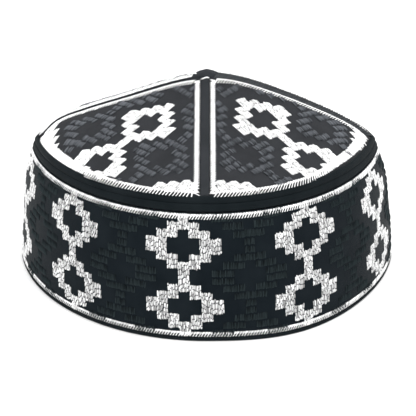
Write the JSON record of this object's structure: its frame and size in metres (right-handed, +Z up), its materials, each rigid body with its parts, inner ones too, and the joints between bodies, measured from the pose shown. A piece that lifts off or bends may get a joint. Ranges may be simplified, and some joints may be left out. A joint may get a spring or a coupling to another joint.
{
  "type": "kufi cap",
  "caption": "Stiff brimless kufi with an upright embroidered side band, rolled black edges and a low four-panel crown rising to a peak.",
  "frame": {"origin": "centre of the hem, on the surface the cap rests on", "axes": "+Z up through the peak; -Y towards the front of the cap; +X towards the cap's right-hand side as seen from the front"},
  "size_m": [0.1886, 0.1925, 0.0996],
  "materials": {
    "band_cloth": "matt stiffened black cloth, closely embroidered",
    "crown_cloth": "black cloth closely embroidered, with a soft sheen",
    "strip_cloth": "matt plain black cloth",
    "binding": "matt black bound edge",
    "white_thread": "white embroidery thread with a soft sheen"
  },
  "bodies": {
    "root": {"band": "band_cloth", "hem_binding": "binding", "band_top_roll": "binding", "crown_edge_roll": "binding", "crown_panel_front_left": "crown_cloth", "crown_panel_front_right": "crown_cloth", "crown_panel_back_left": "crown_cloth", "crown_panel_back_right": "crown_cloth", "crown_strip_front": "strip_cloth", "crown_strip_back": "strip_cloth", "crown_strip_right": "strip_cloth", "crown_seam_left": "strip_cloth", "peak_knot": "binding"}
  },
  "joints": []
}
